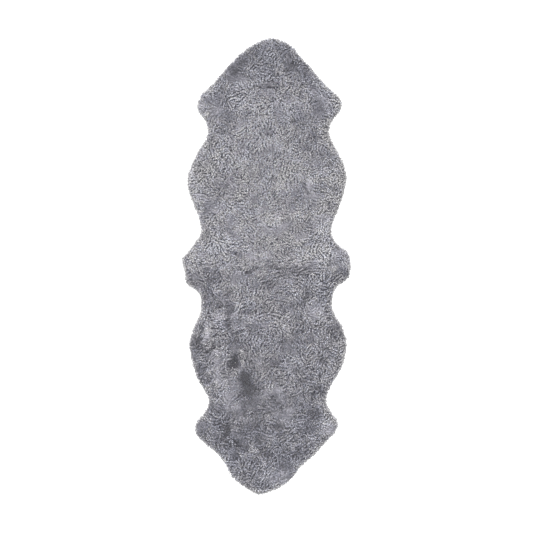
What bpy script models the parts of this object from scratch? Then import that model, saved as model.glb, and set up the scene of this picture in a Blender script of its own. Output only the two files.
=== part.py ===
"""Double sheepskin rug: two short curly pelts sewn end to end, lying flat with the wool up.

Metres, +Z up. The rug's length runs along Y and the join between the pelts along X. The origin is on the
floor, under the middle of the rug. Each pelt is a thin tanned hide under a lumpy slab of wool with locks
round its rim. The wool reaches past the cut edge of the hide and comes down to the floor there.
"""

from collections import namedtuple

import bmesh
import bpy
import numpy as np
from mathutils import Vector, noise
from mathutils.geometry import delaunay_2d_cdt

MM = 0.001

# Driving sizes
HIDE_THICKNESS = 2.0 * MM
PILE_HEIGHT = 18.5 * MM  # of the wool above the hide, on average and away from the rim
SEAT_GAP = 0.3 * MM  # between pieces that touch
LOCKS_ON_A_PELT = 146  # round its rim, one to a step of its outline
LUMP_PITCH = 22.0 * MM  # between the points of the slab's top
CLEAR_OF_RIM = 0.7 * LUMP_PITCH
CLEAR_OF_JOIN = 0.55 * LUMP_PITCH

# Half widths of a pelt over its wool, on the left and right of the rug's middle line, at distances from
# the join. In the last row the two sides meet, at the tip of the neck.
Station = namedtuple("Station", "along left right")
FAR_PELT = (
    Station(0, 329, 330),
    Station(30, 337, 330),
    Station(60, 313, 321),
    Station(92, 286, 276),
    Station(135, 261, 253),
    Station(190, 270, 266),
    Station(240, 289, 288),
    Station(300, 311, 307),
    Station(350, 314, 314),
    Station(400, 299, 304),
    Station(455, 271, 279),
    Station(505, 240, 250),
    Station(535, 234, 243),
    Station(572, 242, 257),
    Station(614, 275, 290),
    Station(648, 271, 296),
    Station(676, 262, 276),
    Station(710, 225, 238),
    Station(770, 173, 184),
    Station(830, 115, 131),
    Station(868, 68, 99),
    Station(892, 22, 56),
    Station(902, -20, 20),
)
NEAR_PELT = (
    Station(0, 329, 330),
    Station(34, 324, 326),
    Station(64, 321, 298),
    Station(84, 294, 270),
    Station(112, 265, 263),
    Station(155, 262, 256),
    Station(195, 266, 271),
    Station(245, 291, 300),
    Station(305, 308, 314),
    Station(350, 301, 309),
    Station(410, 290, 290),
    Station(460, 267, 261),
    Station(515, 235, 236),
    Station(555, 234, 239),
    Station(590, 260, 266),
    Station(620, 280, 282),
    Station(664, 281, 263),
    Station(697, 250, 230),
    Station(745, 193, 187),
    Station(790, 162, 136),
    Station(838, 134, 100),
    Station(872, 90, 52),
    Station(901, 31, -31),
)

# The slab's section across its rim, from the crown down and in under the wool: how far each corner lies
# inside the tips of the locks, and its height.
Corner = namedtuple("Corner", "inset height")
SHOULDER = (
    Corner(22.0 * MM, 18.6 * MM),
    Corner(13.5 * MM, 15.6 * MM),
    Corner(7.5 * MM, 10.0 * MM),
)
LOCK_ROOT = Corner(7.5 * MM, 1.6 * MM)
FLOOR_EDGE = Corner(9.0 * MM, 0.0)
HIDE_INSET = 14.0 * MM  # of the hide's cut edge from the tips of the locks
NOTCH_INSET = HIDE_INSET - SEAT_GAP  # the wall beside the hide's cut edge
NOTCH_HEIGHT = HIDE_THICKNESS + SEAT_GAP

# A lock of the rim rests on the floor at its tip
TIP_WIDTH = 0.36  # of the width at the root
TIP_HEIGHT = 2.8 * MM
TIP_SWEEP = 5.0 * MM  # to either side, along the rim
TIP_UNEVEN = 2.6 * MM  # in length

# Unevenness of the pile, broad swells first
Lump = namedtuple("Lump", "size height")
LUMPS = (Lump(110 * MM, 4.0 * MM), Lump(34 * MM, 5.5 * MM))
RIM_LUMP = Lump(30 * MM, 3.0 * MM)

# Where the pile parts or is pressed down (depth above 0) or stands up (below 0): middle, length, width,
# and heading in degrees from +X.
Trough = namedtuple("Trough", "x y length width heading depth")
TROUGHS = (
    Trough(-92 * MM, -425 * MM, 250 * MM, 52 * MM, -62, 5.0 * MM),
    Trough(-150 * MM, -640 * MM, 130 * MM, 44 * MM, -50, 4.0 * MM),
    Trough(18 * MM, -628 * MM, 90 * MM, 46 * MM, 0, 3.0 * MM),
    Trough(-262 * MM, -365 * MM, 140 * MM, 44 * MM, 80, 3.0 * MM),
    Trough(204 * MM, -525 * MM, 130 * MM, 50 * MM, 75, 3.5 * MM),
    Trough(-200 * MM, -60 * MM, 120 * MM, 42 * MM, 70, 3.0 * MM),
    Trough(60 * MM, -34 * MM, 470 * MM, 34 * MM, 0, 2.6 * MM),
    Trough(-120 * MM, 775 * MM, 110 * MM, 60 * MM, 45, 2.4 * MM),
    Trough(160 * MM, 745 * MM, 150 * MM, 56 * MM, -52, 2.8 * MM),
    Trough(-215 * MM, -250 * MM, 90 * MM, 56 * MM, 70, -2.5 * MM),
    Trough(195 * MM, -176 * MM, 110 * MM, 70 * MM, 20, -2.2 * MM),
)

# The join: the parting of the wool over it, and its bow. Its middle lies towards the far end, and its ends
# drop back from there.
PARTING = Lump(13.0 * MM, 6.5 * MM)
BOW_MIDDLE = 4.0 * MM
BOW_DROP = 10.0 * MM
BOW_REACH = 90 * MM  # how far into the pelts the wool and the hide follow it
HALF_WIDTH = 330 * MM

WOOL_COLOUR = (0.26, 0.26, 0.285, 1.0)
HIDE_COLOUR = (0.56, 0.53, 0.49, 1.0)
SHARP_EDGE = np.radians(50)


def clear_scene():
    for thing in list(bpy.data.objects):
        bpy.data.objects.remove(thing)


def material(name, colour, roughness):
    made = bpy.data.materials.new(name)
    made.use_nodes = True
    shader = made.node_tree.nodes["Principled BSDF"]
    shader.inputs["Base Color"].default_value = colour
    shader.inputs["Roughness"].default_value = roughness
    shader.inputs["Metallic"].default_value = 0.0
    return made


def smooth_curve(corners, samples=24):
    """A centripetal Catmull-Rom curve through the corners, as closely spaced points."""
    first = 2 * corners[0] - corners[1]
    last = 2 * corners[-1] - corners[-2]
    p = np.vstack([first, corners, last])
    knots = np.concatenate([[0], np.cumsum(np.linalg.norm(np.diff(p, axis=0), axis=1) ** 0.5)])
    found = []
    for i in range(1, len(p) - 2):
        t0, t1, t2, t3 = knots[i - 1 : i + 3]
        t = np.linspace(t1, t2, samples, endpoint=False)[:, None]
        a1 = (t1 - t) / (t1 - t0) * p[i - 1] + (t - t0) / (t1 - t0) * p[i]
        a2 = (t2 - t) / (t2 - t1) * p[i] + (t - t1) / (t2 - t1) * p[i + 1]
        a3 = (t3 - t) / (t3 - t2) * p[i + 1] + (t - t2) / (t3 - t2) * p[i + 2]
        b1 = (t2 - t) / (t2 - t0) * a1 + (t - t0) / (t2 - t0) * a2
        b2 = (t3 - t) / (t3 - t1) * a2 + (t - t1) / (t3 - t1) * a3
        found.append((t2 - t) / (t2 - t1) * b1 + (t - t1) / (t2 - t1) * b2)
    return np.vstack([*found, corners[-1:]])


def evenly(points, steps):
    """The same line, cut into equal steps."""
    along = np.concatenate([[0], np.cumsum(np.linalg.norm(np.diff(points, axis=0), axis=1))])
    at = np.linspace(0, along[-1], steps + 1)
    return np.stack([np.interp(at, along, points[:, k]) for k in range(2)], axis=1)


class Pelt:
    """The outer edge of one pelt's wool, from the left end of the join round the tip to its right end."""

    def __init__(self, stations, way):
        left = [(-s.left, way * s.along) for s in stations]
        right = [(s.right, way * s.along) for s in reversed(stations[:-1])]
        self.join = way * SEAT_GAP / 2
        self.edge = evenly(smooth_curve(np.array(left + right) * MM), LOCKS_ON_A_PELT)
        along = np.gradient(self.edge, axis=0)
        along /= np.linalg.norm(along, axis=1)[:, None]
        self.inward = np.stack([along[:, 1], -along[:, 0]], axis=1) * way
        self.inward[0] = (1, 0)
        self.inward[-1] = (-1, 0)
        self.edge[[0, -1], 1] = self.join

    def ring(self, inset):
        """The outer edge moved inwards, with its ends still on the join."""
        return self.edge + self.inward * inset

    def across_join(self):
        """Points along the join from its right end to its left one, clear of the rim."""
        reach = self.ring(SHOULDER[0].inset)
        steps = round((reach[-1, 0] - reach[0, 0]) / LUMP_PITCH)
        return [(x, self.join) for x in np.linspace(reach[-1, 0], reach[0, 0], steps + 1)[1:-1]]


def lumpy(lump, x, y):
    """Smooth random lumps of a given size and height."""
    return lump.height * noise.noise(Vector((x, y, 0)) / lump.size)


def pressed_down(x, y):
    """How far the troughs and the parting lower the pile at a point, each with a soft edge."""
    depth = PARTING.height * np.exp(-((y / PARTING.size) ** 2))
    for trough in TROUGHS:
        heading = np.radians(trough.heading)
        dx, dy = x - trough.x, y - trough.y
        along = (dx * np.cos(heading) + dy * np.sin(heading)) / (trough.length / 2)
        across = (dy * np.cos(heading) - dx * np.sin(heading)) / (trough.width / 2)
        depth += trough.depth * np.exp(-(along**2) - across**2)
    return depth


def crown_height(x, y):
    return HIDE_THICKNESS + PILE_HEIGHT + sum(lumpy(lump, x, y) for lump in LUMPS) - pressed_down(x, y)


def rim_height(x, y, height):
    """A corner of the rim's section: lumpy too, and no higher than the crown beside it."""
    return min(height + lumpy(RIM_LUMP, x, y), crown_height(x, y))


def crown_points(pelt, ring):
    """Points of the slab's top in a honeycomb, kept clear of the ring round it and of the join."""
    row = LUMP_PITCH * np.sqrt(0.75)
    low, high = ring.min(0), ring.max(0)
    found = []
    for k, y in enumerate(np.arange(low[1], high[1], row)):
        for x in np.arange(low[0] + (k % 2) * LUMP_PITCH / 2, high[0], LUMP_PITCH):
            clear = np.linalg.norm(ring - (x, y), axis=1).min() > CLEAR_OF_RIM
            if clear and abs(y - pelt.join) > CLEAR_OF_JOIN:
                found.append((x, y))
    return found


def add_row(mesh, places, heights):
    return [mesh.verts.new((x, y, z)) for (x, y), z in zip(places, heights)]


def add_level(mesh, places, height):
    return add_row(mesh, places, [height] * len(places))


def bridge(mesh, upper, lower):
    return [
        mesh.faces.new((upper[i], lower[i], lower[i + 1], upper[i + 1]))
        for i in range(len(upper) - 1)
    ]


def add_crown(mesh, pelt, border):
    """The slab's lumpy top, inside a closed border of corners that are already in the mesh."""
    around = np.array([corner.co[:2] for corner in border])
    inner = crown_points(pelt, around)
    places = [Vector(p) for p in around] + [Vector(p) for p in inner]
    loop = [(i, (i + 1) % len(border)) for i in range(len(border))]
    found, _, faces, source, _, _ = delaunay_2d_cdt(places, loop, [], 1, 1e-6)
    corners = {}
    for i in {i for face in faces for i in face}:
        first = source[i][0]
        if first < len(border):
            corners[i] = border[first]
        else:
            x, y = found[i]
            corners[i] = mesh.verts.new((x, y, crown_height(x, y)))
    for face in faces:
        mesh.faces.new([corners[i] for i in face])


def add_locks(mesh, faces, pelt, seed):
    """Draws each face of the rim's wall out to a blunt tip on the floor, swept along the rim."""
    rng = np.random.default_rng(seed)
    made = bmesh.ops.extrude_discrete_faces(mesh, faces=faces)["faces"]
    for i, face in enumerate(made):
        outward = -(pelt.inward[i] + pelt.inward[i + 1]) / 2
        sideways = np.array((-outward[1], outward[0]))
        reach = LOCK_ROOT.inset - TIP_UNEVEN * rng.random()
        # the locks at the ends of the join stay clear of the other pelt's
        sweep = TIP_SWEEP * rng.uniform(-1, 1) * (0 < i < len(made) - 1)
        middle = face.calc_center_median()
        tip = middle + Vector((*(outward * reach + sideways * sweep), 0))
        for corner in face.verts:
            height = TIP_HEIGHT if corner.co.z > middle.z else 0.0
            corner.co = tip + (corner.co - middle) * TIP_WIDTH
            corner.co.z = height


def build_fleece(name, pelt, wool, seed):
    """The wool: crown, rounded rim with its locks, floor edge, notch for the hide, and wall at the join."""
    mesh = bmesh.new()
    rings = []
    for corner in SHOULDER:
        places = pelt.ring(corner.inset)
        rings.append(add_row(mesh, places, [rim_height(x, y, corner.height) for x, y in places]))
    for inset, height in (LOCK_ROOT, FLOOR_EDGE, (NOTCH_INSET, 0.0), (NOTCH_INSET, NOTCH_HEIGHT)):
        rings.append(add_level(mesh, pelt.ring(inset), height))
    strips = [bridge(mesh, upper, lower) for upper, lower in zip(rings, rings[1:])]

    across = pelt.across_join()
    top = add_row(mesh, across, [crown_height(x, y) for x, y in across])
    underside = add_level(mesh, across, NOTCH_HEIGHT)
    add_crown(mesh, pelt, rings[0] + top)
    mesh.faces.new(rings[-1] + underside)
    for end in (0, -1):
        mesh.faces.new([ring[end] for ring in rings])
    bridge(mesh, [rings[0][-1], *top, rings[0][0]], [rings[-1][-1], *underside, rings[-1][0]])
    bmesh.ops.recalc_face_normals(mesh, faces=mesh.faces)
    add_locks(mesh, strips[len(SHOULDER) - 1], pelt, seed)
    return finish(name, mesh, wool)


def build_hide(name, pelt, leather):
    """The tanned skin: the pelt's outline inside its wool, as one flat sheet."""
    mesh = bmesh.new()
    outline = [*pelt.ring(HIDE_INSET), *pelt.across_join()]
    sheet = mesh.faces.new(add_level(mesh, outline, 0.0))
    raised = bmesh.ops.extrude_face_region(mesh, geom=[sheet])["geom"]
    upper_side = [corner for corner in raised if isinstance(corner, bmesh.types.BMVert)]
    bmesh.ops.translate(mesh, vec=(0, 0, HIDE_THICKNESS), verts=upper_side)
    bmesh.ops.recalc_face_normals(mesh, faces=mesh.faces)
    return finish(name, mesh, leather)


def finish(name, mesh, its_material):
    """Bows the join, and makes the mesh an object."""
    for corner in mesh.verts:
        x, y, _ = corner.co
        bow = BOW_MIDDLE - BOW_DROP * (x / HALF_WIDTH) ** 2
        corner.co.y += bow * np.exp(-((y / BOW_REACH) ** 2))
    bmesh.ops.triangulate(mesh, faces=[face for face in mesh.faces if len(face.verts) > 4])
    data = bpy.data.meshes.new(name)
    mesh.to_mesh(data)
    mesh.free()
    data.materials.append(its_material)
    data.shade_smooth()
    data.set_sharp_from_angle(angle=SHARP_EDGE)
    made = bpy.data.objects.new(name, data)
    bpy.context.scene.collection.objects.link(made)
    return made


def centre(pieces):
    """Moves the meshes so that the origin is under the middle of the rug."""
    corners = np.array([corner.co for piece in pieces for corner in piece.data.vertices])
    middle = (corners.min(0) + corners.max(0)) / 2
    for piece in pieces:
        for corner in piece.data.vertices:
            corner.co.x -= middle[0]
            corner.co.y -= middle[1]


def main():
    clear_scene()
    wool = material("wool", WOOL_COLOUR, roughness=0.95)
    leather = material("hide", HIDE_COLOUR, roughness=0.8)
    far = Pelt(FAR_PELT, 1)
    near = Pelt(NEAR_PELT, -1)
    pieces = [
        build_hide("hide_far", far, leather),
        build_hide("hide_near", near, leather),
        build_fleece("fleece_far", far, wool, seed=11),
        build_fleece("fleece_near", near, wool, seed=23),
    ]
    centre(pieces)


main()
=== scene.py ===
from collections import namedtuple

import bpy
import numpy as np
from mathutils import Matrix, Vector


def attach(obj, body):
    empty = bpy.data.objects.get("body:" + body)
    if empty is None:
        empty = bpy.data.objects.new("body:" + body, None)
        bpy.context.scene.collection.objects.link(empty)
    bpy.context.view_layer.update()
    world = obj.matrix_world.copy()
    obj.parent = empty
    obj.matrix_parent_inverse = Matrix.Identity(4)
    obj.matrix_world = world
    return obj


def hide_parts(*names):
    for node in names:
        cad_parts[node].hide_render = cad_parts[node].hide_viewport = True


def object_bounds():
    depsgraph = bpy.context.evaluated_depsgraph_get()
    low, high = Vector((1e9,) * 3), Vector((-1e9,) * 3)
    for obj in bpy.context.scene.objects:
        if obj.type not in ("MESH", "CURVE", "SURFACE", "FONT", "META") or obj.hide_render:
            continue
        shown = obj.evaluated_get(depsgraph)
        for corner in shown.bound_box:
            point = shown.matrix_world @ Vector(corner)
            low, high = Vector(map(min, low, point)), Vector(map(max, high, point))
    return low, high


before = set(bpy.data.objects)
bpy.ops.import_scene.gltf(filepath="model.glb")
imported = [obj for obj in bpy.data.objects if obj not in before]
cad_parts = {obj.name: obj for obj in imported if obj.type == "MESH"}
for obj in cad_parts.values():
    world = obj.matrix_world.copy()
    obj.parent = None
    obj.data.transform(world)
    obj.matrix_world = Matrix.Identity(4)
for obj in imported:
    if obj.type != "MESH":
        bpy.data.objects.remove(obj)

cad_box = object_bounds()
MM = 0.001

# --- The pelts -----------------------------------------------------------------------------------------

PELTS = ("far", "near")
RIM = 16.5 * MM  # how far the wool reaches past the cut edge of the hide
HIDE_THICKNESS = 2.0 * MM
OUTLINE_STEP = 4.0 * MM
JOIN_REACH = 20.0 * MM  # the join lies within this of the rug's middle
MAP_STEP = 3.0 * MM  # of the maps that each pelt keeps of its wool
MAP_MARGIN = 30.0 * MM
CROWN_FLOOR = 9.0 * MM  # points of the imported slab's top lie above this
CROWN_INSET = 18.0 * MM
CROWN_BLUR = 8.0 * MM

# The canopy's section at the rim: distance inside the wool's edge, and share of the full height there
Section = namedtuple("Section", "inset share")
CANOPY = (
    Section(-4.0 * MM, 0.10),
    Section(0.0 * MM, 0.22),
    Section(4.0 * MM, 0.42),
    Section(7.5 * MM, 0.58),
    Section(13.5 * MM, 0.80),
    Section(22.0 * MM, 0.95),
    Section(32.0 * MM, 1.00),
)

# --- The wool ------------------------------------------------------------------------------------------

# The wool parts into locks, and the curls of a lock lie side by side in rows, which bend together. The far
# pelt's wool is finer and more even than the near one's.
LOCK_SIZE = {"far": 25.0 * MM, "near": 30.0 * MM}
LOCK_SHAKE = (0.08, 0.92)  # where the middle of a lock may lie in its square of the lattice
LOCK_HEIGHT = {"far": 1.6 * MM, "near": 2.2 * MM}  # above the grooves round it
GROOVE_HALF = 0.16  # half the width of such a groove, as a share of the lock's size
GROOVE_MEAN = 0.35  # share of the locks' height that leaves the wool's mean height as it is
LOCK_BEND = 1 / (32.0 * MM)  # the sharpest curve of a lock's rows
LOCK_SWIRL = 0.6  # radians by which a lock may lie across the flow
FLOW_SIZE = 110.0 * MM  # over which neighbouring locks lie much the same way
FLOW_TURN = 1.6 * np.pi  # how far their headings turn either way over that
ROWS_REACH = 1.2  # of a lock's rows from its middle, in sizes of a lock, before its cell cuts them off
ROW_PITCH = {"far": 6.2 * MM, "near": 6.5 * MM}
CURL_PITCH = {"far": 13.0 * MM, "near": 13.6 * MM}  # along a row
ROW_SHAKE, CURL_SHAKE = 0.07, 0.15  # how far curls stray from their places, in shares of those pitches
CURL_INSET = 5.0 * MM  # of the outermost curls, from the wool's edge

CURL_WIDTH = {"far": 4.0 * MM, "near": 4.4 * MM}
CURL_FLATNESS = 0.85  # thickness as a share of the width
CURL_LENGTH = 1.12  # in pitches along a row
CURL_WAVE = (28, 50)  # degrees by which its heading waves either way
WAVE_LENGTH = 13.0 * MM
RING_LENGTH, RING_TURN, RING_WAVE = 10.0 * MM, (100, 250), 10  # of curls that curl up into rings
CURL_BACK, RING_BACK = 0.5, 0.2  # shares of the length that lie behind the curl's place in its row
SIZE_SPREAD = (0.85, 1.15)  # of lengths and widths about their mean
SINK = 1.0 * MM  # the most that a curl lies below its layer
STEM = 4.0 * MM  # of a curl, below its visible arc
STEM_LEANS, STEM_LEVEL = 0.1667, 1.2778  # in stems from its root, where it starts to lean and is level
ROOT_PITCH, TIP_DROP = np.radians(72), np.radians(16)  # how steep a curl is at its root and at its tip

# Where the wool is fluffed out, shares by which curls are wider, wave less, rise to the top and are more
# alike in tone
FLUFF_WIDTH, FLUFF_STRAIGHT, FLUFF_RAISE, FLUFF_EVEN = 0.32, 0.4, 0.5, 0.6
# Painted shade on fluffed-out curls, in place of the dark gaps that they hide
FLUFF_PAINTED_SHADE = -0.24  # of its curls, because they hide the dark below them
COMBED_RISE, COMBED_START = 1.3, 0.15  # the share combed out is the fluff times the one, less the other
# The close wool under the curls. Its dark colour is painted shade, which its fluff pales
CLOSE_WOOL_DEPTH = 8.0 * MM  # below the canopy
CLOSE_WOOL_RISE = 3.5 * MM  # where it is fluffed out
CLOSE_WOOL_FLUFF = {"far": 0.16, "near": 0.0}  # at least, which makes it paler
CLOSE_WOOL_INSET = 8.0 * MM  # inside the wool's edge
CLOSE_WOOL_LUMPS, CLOSE_WOOL_LUMP_SIZE = 1.2 * MM, 9.0 * MM  # how far it swells, and over what length
CLOSE_WOOL_ROUGH = 0.7 * MM  # how much points side by side differ
CLOSE_WOOL_LEAST = 1.5 * MM  # height above the floor
CLOSE_WOOL_FOOT = 1.2 * MM  # its flat underside, within the hide's thickness and clear of the seam's hollow
DARK_STAYS = 1.5  # how soon the close wool of dark patches stays dark, however fluffed out
FLOOR_GAP = 0.3 * MM
FLOOR_REACH, FLOOR_BEND, FLOOR_EXTRA = 6.0 * MM, 2.0 * MM, 0.16 * MM  # see above_floor

# Curls at the rim: the share that turns outwards (above 1, so all do at the very edge), how much they
# scatter (radians), and the shares by which they are shorter and straighter
RIM_TURNED, RIM_SCATTER, RIM_SHORT, RIM_STRAIGHT = 1.4, 0.55, 0.3, 0.6
RIM_LUMPS, RIM_LUMP_SIZE = 2.2 * MM, 24.0 * MM  # how far the rim swells and draws in, and over what length
RIM_STRAND_REACH = 20.0 * MM  # of its locks and wisps, from the hide's edge
RIM_SHAKE = 0.4  # how far they stray along it, in shares of their pitch
CORNER_REACH = 22.0 * MM  # round which the rim turns at the ends of the join
CORNER_INSET, CORNER_START, CORNER_LENGTH = 2.5 * MM, 2.0 * MM, 3.0 * MM  # of the roots there, from the join
SEAM_REACH = 9.0 * MM  # curls with roots this near to the join hang over the seam
SEAM_TURNED, SEAM_SCATTER = 0.5, 0.9  # the share of them that do, and how much they scatter (radians)

# Layers of curls: how far below the canopy, shares of a row and of a curl that they are shifted by, what is
# added to the tone (painted shade on the deeper layer, painted light on the higher one), share of the
# width, how many of the places are filled, share that curl up into rings, and how much their headings
# differ (radians)
Layer = namedtuple("Layer", "depth shift tone width filled ringed scatter")
LAYERS = (
    Layer(0.0, 0.0, 0.0, 1.0, 1.0, 0.10, 0.15),
    Layer(2.8 * MM, 0.5, -0.12, 1.0, 1.0, 0.12, 0.30),
    Layer(-0.6 * MM, 0.25, 0.03, 0.80, 0.06, 0.30, 1.5),
)

# Patches of the wool: middle, length, width (mm) and heading (degrees from +X) of each, what it adds to the
# tone, and how fluffed out its curls are
# The dark patches are partly the wool's own tone and partly painted shade of hollows
Patch = namedtuple("Patch", "x y length width heading tone fluff")
PATCHES = (
    # far pelt: dark neck and shoulders, pale tips of its forelegs
    Patch(0, 820, 330, 200, 0, -0.22, 0.1),
    Patch(0, 880, 200, 60, 0, -0.10, 0.0),
    Patch(-126, 780, 130, 90, 35, -0.30, 0.6),
    Patch(146, 775, 140, 68, -40, -0.31, 0.5),
    Patch(-10, 775, 110, 80, 0, 0.11, 0.0),
    Patch(182, 702, 50, 40, 0, -0.26, 0.2),
    Patch(200, 640, 110, 70, 0, -0.10, 0.3),
    Patch(268, 655, 70, 70, 0, 0.20, 0.3),
    Patch(-197, 610, 130, 110, 0, -0.03, 0.6),
    Patch(-134, 663, 80, 60, 0, -0.10, 0.0),
    Patch(-233, 564, 60, 40, 20, -0.16, 0.0),
    Patch(-166, 588, 50, 45, 60, -0.14, 0.0),
    Patch(60, 664, 90, 60, 0, -0.05, 0.0),
    # far pelt: back and flanks
    Patch(196, 600, 200, 64, 90, -0.16, 0.4),
    Patch(196, 455, 80, 60, 0, 0.10, 0.0),
    Patch(-90, 520, 200, 90, 0, 0.09, 0.0),
    Patch(60, 500, 170, 110, 0, 0.05, 0.0),
    Patch(-280, 350, 180, 50, 90, 0.08, 0.2),
    Patch(-250, 455, 90, 70, 60, -0.12, 0.2),
    Patch(130, 430, 120, 90, 0, 0.07, 0.0),
    Patch(257, 418, 80, 60, 0, -0.12, 0.0),
    Patch(237, 367, 80, 60, 60, 0.10, 0.4),
    Patch(-160, 385, 90, 50, 20, 0.07, 0.0),
    Patch(49, 318, 120, 44, 90, 0.34, 0.2),
    Patch(114, 288, 120, 50, 90, -0.19, 0.0),
    Patch(278, 315, 90, 36, 90, -0.16, 0.0),
    Patch(162, 300, 80, 40, 70, 0.05, 0.2),
    Patch(-217, 200, 90, 50, -60, -0.09, 0.0),
    # far pelt: pale wool along the join
    Patch(-126, 125, 100, 30, -35, -0.12, 0.2),
    Patch(225, 185, 190, 110, 90, 0.16, 0.2),
    Patch(122, 105, 70, 50, 20, 0.28, 0.7),
    Patch(-59, 38, 260, 45, 0, 0.10, 0.4),
    Patch(225, 40, 190, 80, 0, 0.22, 0.5),
    Patch(257, 93, 60, 50, 90, -0.14, 0.0),
    Patch(-245, 95, 90, 60, 0, -0.12, 0.0),
    Patch(39, 6, 70, 40, 0, -0.12, 0.0),
    # near pelt: mottled just past the join
    Patch(80, -100, 420, 130, 0, 0.08, 0.0),
    Patch(-166, -24, 90, 45, 0, 0.12, 0.3),
    Patch(-200, -50, 66, 48, 60, -0.18, 0.0),
    Patch(-268, -62, 100, 70, 60, -0.11, 0.2),
    Patch(-107, -47, 110, 60, 20, 0.12, 0.9),
    Patch(-79, -83, 50, 40, 0, 0.16, 0.0),
    Patch(-160, -88, 60, 50, 0, -0.02, 0.0),
    Patch(130, -45, 50, 42, 0, -0.16, 0.2),
    Patch(292, -31, 80, 50, 20, -0.10, 0.2),
    Patch(-245, -120, 100, 52, 90, -0.12, 0.6),
    Patch(140, -122, 80, 50, 0, -0.05, 0.0),
    Patch(91, -162, 70, 52, 0, -0.16, 0.2),
    # near pelt: mottled left flank
    Patch(-138, -165, 62, 26, 60, -0.26, 0.2),
    Patch(-181, -189, 72, 48, 60, 0.16, 0.9),
    Patch(-116, -183, 62, 32, 75, 0.20, 0.6),
    Patch(-150, -225, 60, 40, 0, -0.14, 0.2),
    Patch(-227, -257, 92, 40, 75, 0.34, 1.0),
    Patch(-268, -318, 76, 50, 30, -0.28, 0.2),
    Patch(-230, -330, 50, 40, 0, -0.16, 0.3),
    Patch(-189, -328, 84, 36, 90, 0.14, 0.6),
    Patch(-185, -391, 104, 52, 90, 0.15, 0.8),
    Patch(-166, -450, 84, 60, 0, 0.06, 0.8),
    Patch(-158, -525, 84, 70, 0, 0.10, 0.8),
    Patch(-122, -568, 52, 36, 0, 0.16, 0.6),
    Patch(-249, -430, 100, 50, 80, -0.28, 0.3),
    Patch(-201, -568, 62, 34, -30, -0.32, 0.2),
    # near pelt: dark trail across it
    Patch(-127, -368, 56, 45, 95, -0.85, 0.4),
    Patch(-112, -407, 56, 20, 10, 0.30, 0.3),
    Patch(-88, -446, 76, 58, -70, -0.52, 0.3),
    Patch(-52, -486, 84, 50, -45, -0.37, 0.4),
    Patch(-83, -545, 80, 50, 90, -0.20, 0.4),
    Patch(0, -420, 130, 80, 0, -0.10, 0.0),
    Patch(-20, -500, 230, 120, -25, -0.10, 0.4),
    # near pelt: back and right flank
    Patch(-20, -213, 200, 50, 0, -0.06, 0.0),
    Patch(193, -180, 88, 76, 60, 0.12, 0.9),
    Patch(95, -300, 62, 26, 30, -0.10, 0.2),
    Patch(-100, -290, 90, 70, 90, 0.10, 0.0),
    Patch(272, -280, 100, 42, 95, -0.16, 0.2),
    Patch(24, -379, 40, 32, 0, -0.10, 0.0),
    Patch(99, -379, 80, 60, 0, 0.12, 0.0),
    Patch(178, -462, 150, 90, 70, -0.06, 0.0),
    Patch(193, -530, 84, 50, 75, -0.14, 0.0),
    Patch(79, -560, 130, 70, 85, 0.08, 0.6),
    # near pelt: neck
    Patch(-10, -665, 460, 220, 0, -0.10, 0.1),
    Patch(-258, -632, 66, 56, 0, -0.20, 0.6),
    Patch(-156, -656, 58, 46, 70, -0.52, 0.1),
    Patch(-60, -660, 120, 100, 0, -0.16, 0.4),
    Patch(39, -627, 50, 40, 60, -0.28, 0.2),
    Patch(176, -620, 90, 70, 60, -0.24, 0.2),
    Patch(209, -585, 60, 40, 80, -0.20, 0.0),
    Patch(250, -630, 84, 80, 40, 0.20, 0.8),
    Patch(-116, -707, 74, 28, -45, -0.16, 0.0),
    Patch(-150, -716, 70, 26, -40, -0.12, 0.0),
    Patch(43, -703, 90, 60, 0, 0.08, 0.0),
    Patch(-107, -762, 52, 32, -60, -0.28, 0.0),
    Patch(4, -738, 70, 26, 0, -0.24, 0.0),
    Patch(134, -738, 70, 32, 5, -0.32, 0.0),
    Patch(75, -789, 70, 64, 0, -0.16, 0.2),
    Patch(-125, -795, 60, 40, -50, 0.10, 0.2),
    Patch(-71, -845, 40, 40, 0, -0.14, 0.0),
    Patch(20, -850, 180, 70, 0, 0.03, 0.5),
)
PATCH_FLATNESS = 1.3  # 1 is a bell, and more is flatter on top
PATCH_RAGGED, PATCH_RAG_SIZE = 9.0 * MM, 30.0 * MM  # how far their outlines stray, and over what length
PATCH_SWELL = 4.0 * MM  # of a patch as pale as tone 1: dark patches lie a little lower

# Places where the wool parts: middle, length (mm), heading (degrees from +X), and how far the line bows out
# to its left (mm)
Parting = namedtuple("Parting", "x y length heading bow")
PARTINGS = (
    Parting(-235, -256, 92, 58, 17),
    Parting(-215, -218, 40, 10, 3),
    Parting(-142, -248, 100, 92, 4),
    Parting(-205, -330, 60, 20, 6),
    Parting(-152, -148, 60, 50, -6),
    Parting(-60, -20, 90, 15, 5),
    Parting(-128, 52, 70, -20, 6),
    Parting(266, 657, 52, 0, 2),
    Parting(150, 300, 60, -60, 7),
    Parting(-90, 270, 55, 40, -6),
    Parting(90, 560, 60, 25, 5),
    Parting(60, -375, 60, 35, 7),
    Parting(190, -520, 70, 80, 6),
    Parting(-20, -575, 80, 10, 6),
    Parting(-161, -697, 60, -45, 3),
    Parting(-116, -699, 54, -41, -3),
    Parting(40, -535, 75, -50, 8),
    Parting(-95, -262, 60, 20, 8),
    Parting(-100, -288, 50, -10, -6),
    Parting(12, 708, 120, 0, -6),
    Parting(130, 793, 70, -10, 5),
)
PARTING_DEPTH = 5.0 * MM
PARTING_HALF = 2.8 * MM  # half its width
# Painted shade in a parting, where the wool opens
PARTING_PAINTED_SHADE = -0.45

# The wool's tone runs from 0, the darkest, to 1
BASE_TONE = {"far": 0.82, "near": 0.66}
FLUFF_CLOUDS = ((46 * MM, 0.60), (21 * MM, 0.60))  # size and strength of clouds where the wool is fluffed out
FLUFF_LIFT = {"far": -0.10, "near": -0.22}
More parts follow.
